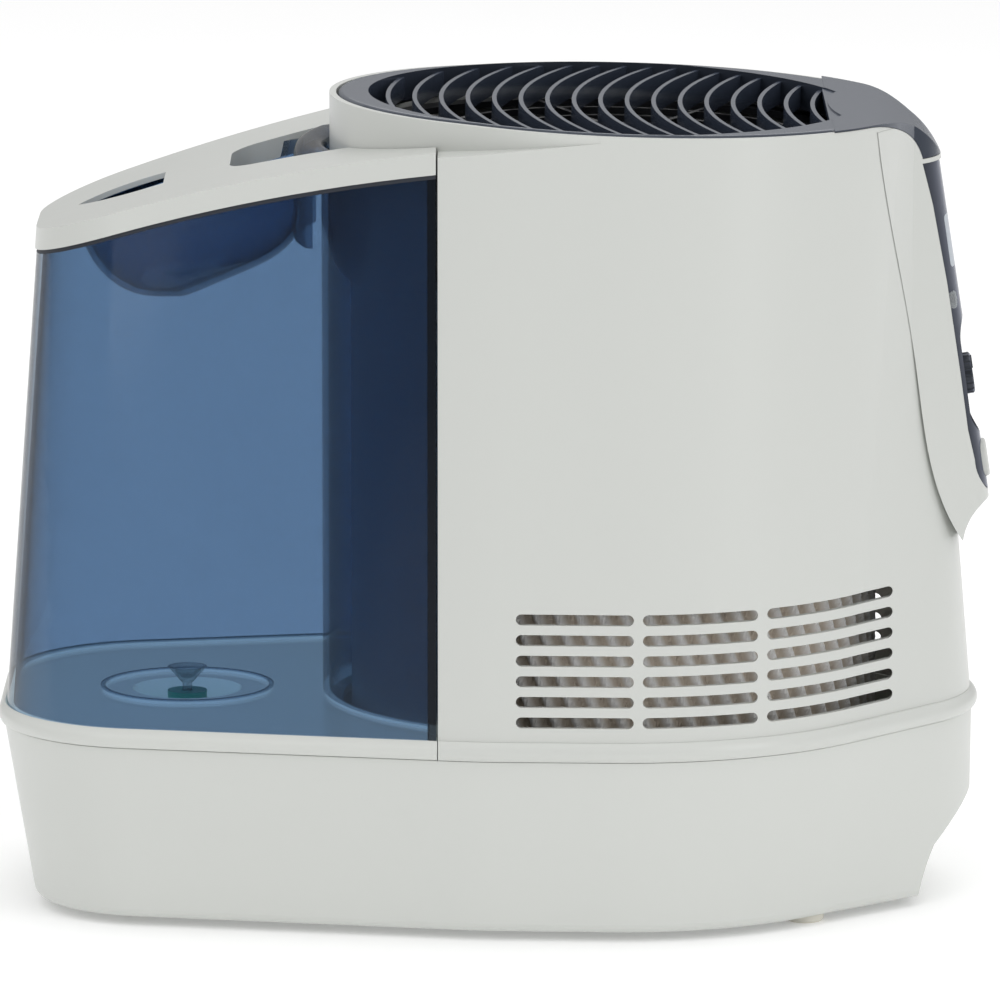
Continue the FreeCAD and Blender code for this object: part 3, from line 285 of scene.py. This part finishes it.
def tinted_clear(name, tint, surface, cover, rough, ior=1.45, tank=False):
    """Thin clear plastic: light passes each face with a tint, and the faces add haze and gloss.

    The tint deepens where a wall is seen at a glancing angle."""
    paint = Paint(name)
    smear = paint.roughness(paint.noise(30.0, 3.0), rough * 0.8, rough * 1.25, 0.3, 0.7)
    depth = paint.edge_on(4.0)
    haze = paint.node("MixShader")
    if tank:
        depth = tank_regions(paint, haze, depth, surface, cover)
    else:
        haze.inputs["Fac"].default_value = cover
        flow = paint.noise(7.0, 2.0, (1.0, 1.0, 0.4))
        paint.colour(flow, scaled(surface, 0.92), scaled(surface, 1.08))
    through = paint.node("BsdfTransparent")
    paint.link(paint.blend(depth, tint, scaled(tint, 0.12)), through.inputs["Color"])
    paint.link(through.outputs["BSDF"], haze.inputs[1])
    paint.link(paint.shader.outputs["BSDF"], haze.inputs[2])
    gloss = paint.node("BsdfGlossy")
    paint.link(smear, gloss.inputs["Roughness"])
    fresnel = paint.node("Fresnel")
    fresnel.inputs["IOR"].default_value = ior
    outward = paint.math("SUBTRACT", 1.0, paint.node("NewGeometry").outputs["Backfacing"])
    top = paint.node("MixShader")
    paint.link(paint.math("MULTIPLY", fresnel.outputs["Fac"], outward), top.inputs["Fac"])
    paint.link(haze.outputs["Shader"], top.inputs[1])
    paint.link(gloss.outputs["BSDF"], top.inputs[2])
    paint.link(top.outputs["Shader"], paint.output.inputs["Surface"])
    return paint.material


def rubber(name, colour, rough=0.62):
    """Rubber, matt and a little dusty."""
    paint = Paint(name)
    dust = paint.noise(160.0, 4.0)
    paint.colour(dust, scaled(colour, 0.85), scaled(colour, 1.2))
    paint.roughness(dust, rough * 0.85, rough * 1.15)
    paint.bump(paint.noise(1500.0, 2.0), 0.00003)
    return paint.material


def laminated():
    """Stack of thin oiled steel sheets, seen from the side as fine lines."""
    paint = Paint("lamination_steel")
    sheets = paint.layers(320.0)
    paint.colour(sheets, (0.11, 0.11, 0.115), (0.42, 0.42, 0.43))
    paint.roughness(paint.noise(240.0), 0.30, 0.50)
    paint.bump(sheets, 0.00008)
    paint.set(Metallic=0.9)
    return paint.material


def copper_winding():
    """Enamelled wire, its turns seen as fine bands."""
    paint = Paint("copper_winding")
    wires = paint.layers(260.0, 1.2)
    paint.colour(wires, (0.20, 0.055, 0.02), (0.72, 0.30, 0.13))
    paint.roughness(paint.noise(120.0), 0.25, 0.45)
    paint.bump(wires, 0.0004)
    paint.set(Metallic=0.6)
    return paint.material


def vector_math(paint, operation, vector, number=(0.0, 0.0, 0.0)):
    worker = paint.node("VectorMath")
    worker.operation = operation
    worker.inputs[1].default_value = number
    paint.link(vector, worker.inputs[0])
    return worker


def wick_paper():
    """Fibrous wicking paper: pale on its ridges, with painted shade in its folds that makes them darker
    and browner.
    """
    paint = Paint("wick_paper")
    low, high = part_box("wick_filter")
    offset = vector_math(paint, "SUBTRACT", paint.place, ((low.x + high.x) / 2, 0.0, 0.0))
    flat = vector_math(paint, "MULTIPLY", offset.outputs["Vector"], (1.0, 1.0, 0.0))
    reach = vector_math(paint, "LENGTH", flat.outputs["Vector"]).outputs["Value"]
    outer = (high.x - low.x) / 2
    painted_shade_fold_mask = paint.span(reach, 0.0, 1.0, outer - 0.7 * WICK_FOLD, outer - 0.1 * WICK_FOLD)
    fibres = paint.noise(420.0, 5.0, (1.0, 1.0, 0.5), 0.65)
    mixed = paint.math("MULTIPLY", painted_shade_fold_mask, paint.span(fibres, 0.8, 1.1))
    # painted shade: the folds are coloured darker and browner than the ridges
    paint.colour(mixed, (0.68, 0.61, 0.53), (0.99, 0.99, 1.0))
    paint.roughness(fibres, 0.78, 0.96)
    paint.bump(fibres, 0.0003)
    paint.set(Specular_IOR_Level=0.25)
    return paint.material


def floor_paint():
    paint = Paint("floor_paper")
    cloud = paint.noise(1.3, 2.0)
    paint.colour(cloud, (0.92, 0.92, 0.92), (0.95, 0.95, 0.95))
    paint.roughness(cloud, 0.75, 0.9)
    paint.set(Emission_Color=(1.0, 1.0, 1.0, 1.0), Emission_Strength=0.17)
    paint.bump(paint.noise(900.0, 2.0), 0.00002)
    return paint.material


# ---- finishes of the CAD parts ---------------------------------------------------------------
WHITE = (0.60, 0.614, 0.587)
GRILLE_BLUE = (0.024, 0.029, 0.040)
# painted sheen colour of the grille, where it is seen at a glancing angle
GRILLE_PAINTED_SHEEN = (0.055, 0.070, 0.105)
PANEL_BLUE = (0.014, 0.015, 0.019)
# painted sheen colour of the panel, where it is seen at a glancing angle
PANEL_PAINTED_SHEEN = (0.150, 0.170, 0.245)
SKY_TINT = (0.80, 0.88, 1.0, 1.0)      # tint of the reflections in dark glossy plastic
BLACK = (0.012, 0.013, 0.016)
CLEAR_BLUE_FACE = (0.07, 0.11, 0.18)   # what the faces of the blue plastic add by themselves
TANK_BLUE = (0.56, 0.655, 0.755)
WELL_BLUE = (0.55, 0.65, 0.76)
TANK_EDGE_X = -0.0292                  # the tank's end wall starts here
TANK_FLOOR_Z = 0.0925                  # just above the tank's floor
TANK_BLUR = 0.0004                     # half width of the change at those two places
TANK_FLOOR_HAZE = 0.55
TANK_FLOOR_PALE = (0.80, 0.88, 0.92)
TANK_FLOOR_PAINTED_LIGHT = (0.40, 0.45, 0.45)   # painted light: the floor glows as if lit by the pale tray below it


def paint_parts():
    """Give every CAD part its finish."""
    white = moulded("white_housing_plastic", WHITE, 0.30, shift=0.012)
    white_tray = moulded("white_tray_plastic", scaled(WHITE, 1.03), 0.34, shift=0.012)
    tank_blue = tinted_clear("tank_clear_blue", TANK_BLUE, CLEAR_BLUE_FACE, 0.06, 0.08, 1.26, True)
    well_blue = tinted_clear("well_clear_blue", WELL_BLUE, CLEAR_BLUE_FACE, 0.08, 0.12)
    clear = tinted_clear("clear_plastic", (0.90, 0.93, 0.94), (0.62, 0.66, 0.68), 0.30, 0.14)
    green = moulded("cap_green_plastic", (0.02, 0.42, 0.30), 0.32)
    grille = moulded("grille_blue_plastic", GRILLE_BLUE, 0.22, painted_sheen=GRILLE_PAINTED_SHEEN)
    panel = moulded("panel_blue_plastic", PANEL_BLUE, 0.24, painted_sheen=PANEL_PAINTED_SHEEN)
    label = moulded("label_film", (0.46, 0.50, 0.55), 0.34, grain_scale=1200.0, shift=0.02)
    black = moulded("black_plastic", BLACK, 0.42, grain=0.00004)
    dark_rubber = rubber("dark_rubber", (0.018, 0.022, 0.032))
    pale_rubber = rubber("pale_rubber", (0.66, 0.64, 0.57))
    steel = metal("bright_steel", (0.62, 0.62, 0.60), 0.24)
    zinc = metal("zinc_plate", (0.55, 0.56, 0.57), 0.38, scale=240.0)
    bronze = metal("sintered_bronze", (0.52, 0.36, 0.17), 0.46, scale=1400.0, depth=0.00004)
    finishes = {
        white: ("fan_housing", "front_bezel", "tank_lid", "power_button"),
        white_tray: ("base_tray", "tank_cradle", "wick_base_ring", "wick_top_ring"),
        tank_blue: ("tank_body",),
        well_blue: ("tank_handle_well",),
        clear: ("valve_stem", "indicator_lens", "indicator_lamp"),
        green: ("tank_cap",),
        grille: ("outlet_grille",),
        panel: ("control_panel", "speed_knob"),
        label: ("panel_label",),
        black: ("cord_grommet", "speed_switch", "power_switch",
                "fan_guard", "fan_shroud", "fan_blade", "fan_nut"),
        dark_rubber: ("lid_gasket", "cap_gasket", "valve_seal"),
        pale_rubber: ("tray_feet",),
        steel: ("valve_spring", "switch_shaft", "fan_shaft",
                "grille_screws", "shroud_screws", "mount_screws", "motor_bolts"),
        zinc: ("switch_bracket", "motor_mount", "lower_bracket", "upper_bracket"),
        bronze: ("motor_bearings",),
        laminated(): ("stator_stack", "motor_rotor"),
        copper_winding(): ("stator_windings",),
        wick_paper(): ("wick_filter",),
    }
    painted = set()
    for material, nodes in finishes.items():
        for node in nodes:
            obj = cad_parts[node]
            obj.data.materials.clear()
            obj.data.materials.append(material)
            painted.add(node)
    unpainted = sorted(set(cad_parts) - painted)
    if unpainted:
        raise RuntimeError("no finish for " + ", ".join(unpainted))


# ---- wick ------------------------------------------------------------------------------------
WICK_THICK = 0.024
WICK_INSET = 0.0004          # how far the ridges stay inside the plain CAD ring
WICK_FOLD = 0.0055           # depth of the folds on the outside
WICK_INNER_FOLD = 0.003      # depth of the folds in the layers behind
WICK_RIDGES = 68
WICK_STEPS = 8               # points round each ridge
WICK_LEVELS = 48             # rows of points from bottom to top
WICK_LEAN = math.radians(22.0)
WICK_SHARPNESS = 0.8


def make_wick():
    """Ring of folded paper, its ridges leaning, in place of the plain CAD ring."""
    low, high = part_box("wick_filter")
    outer = (high.x - low.x) / 2 - WICK_INSET
    mesh = bmesh.new()
    layers = (
        (outer, WICK_FOLD, 1.0, True),
        (outer - WICK_THICK * 0.33, WICK_INNER_FOLD, -1.0, False),
        (outer - WICK_THICK * 0.66, WICK_INNER_FOLD, 1.0, False),
        (outer - WICK_THICK, WICK_INNER_FOLD, -1.0, True),
    )
    walls = []
    for radius, depth, way, full in layers:
        levels = range(WICK_LEVELS + 1) if full else (0, WICK_LEVELS)
        slope = way * math.tan(WICK_LEAN) * WICK_RIDGES / outer
        walls.append([wick_row(mesh, low, high, level, radius, depth, slope) for level in levels])
    skin_walls(mesh, walls[0], walls[-1])
    close_ends(mesh, walls)
    data = bpy.data.meshes.new("wick")
    mesh.to_mesh(data)
    mesh.free()
    data.materials.append(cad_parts["wick_filter"].data.materials[0])
    wick = bpy.data.objects.new("wick", data)
    bpy.context.scene.collection.objects.link(wick)
    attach(wick, "filter")
    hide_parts("wick_filter")


def wick_row(mesh, low, high, level, radius, depth, slope):
    """One closed row of points round the wick."""
    centre = (low + high) / 2
    rise = (high.z - low.z) * level / WICK_LEVELS
    row = []
    for step in range(WICK_RIDGES * WICK_STEPS):
        angle = 2 * math.pi * step / (WICK_RIDGES * WICK_STEPS)
        fold = 0.5 - 0.5 * math.cos(WICK_RIDGES * angle + slope * rise)
        r = radius - depth * (1 - fold ** WICK_SHARPNESS)
        place = (centre.x + r * math.cos(angle), centre.y + r * math.sin(angle), low.z + rise)
        row.append(mesh.verts.new(place))
    return row


def join_rows(mesh, near, far, flip):
    """Faces between two rows of points."""
    count = len(near)
    for i in range(count):
        j = (i + 1) % count
        quad = (near[i], near[j], far[j], far[i])
        mesh.faces.new(quad[::-1] if flip else quad)


def skin_walls(mesh, outer, inner):
    """Skin the outer and inner walls, row by row."""
    for rows, flip in ((outer, False), (inner, True)):
        for lower, upper in zip(rows, rows[1:]):
            join_rows(mesh, lower, upper, flip)


def close_ends(mesh, walls):
    """Close the bottom and the top, through the folds of the layers between."""
    for end, flip in ((0, True), (-1, False)):
        for near, far in zip(walls, walls[1:]):
            join_rows(mesh, near[end], far[end], flip)


make_camera()
make_studio()
make_floor()
paint_parts()
make_wick()
